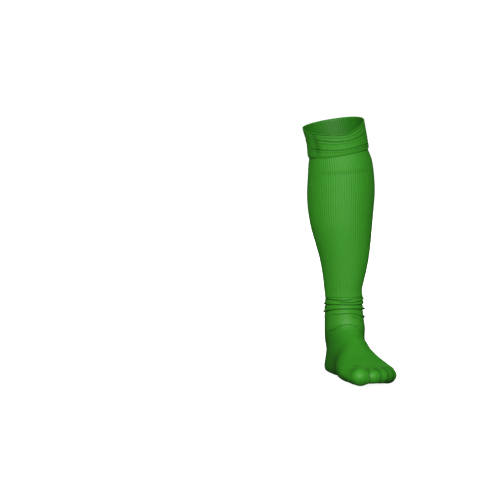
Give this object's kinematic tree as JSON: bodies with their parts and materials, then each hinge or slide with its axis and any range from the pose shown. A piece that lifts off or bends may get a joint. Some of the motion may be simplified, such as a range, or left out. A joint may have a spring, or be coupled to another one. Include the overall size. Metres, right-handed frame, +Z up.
{
  "type": "sock",
  "caption": "Knee-high ribbed sports sock for a left foot, in its worn form: a tube of knit with a turned-over cuff, a creased ankle and a closed foot that shows the toes.",
  "frame": {"origin": "middle of the mouth, where the sock grips the leg below the knee", "axes": "+Z up the leg, toes towards -Y, big toe on the -X side"},
  "size_m": [0.1261, 0.261, 0.441],
  "materials": {
    "cuff_knit": "matte knit",
    "ribbed_knit": "matte knit",
    "ankle_knit": "matte knit",
    "foot_knit": "matte knit"
  },
  "bodies": {
    "root": {"cuff": "cuff_knit", "leg": "ribbed_knit", "ankle": "ankle_knit", "foot": "foot_knit"}
  },
  "joints": []
}
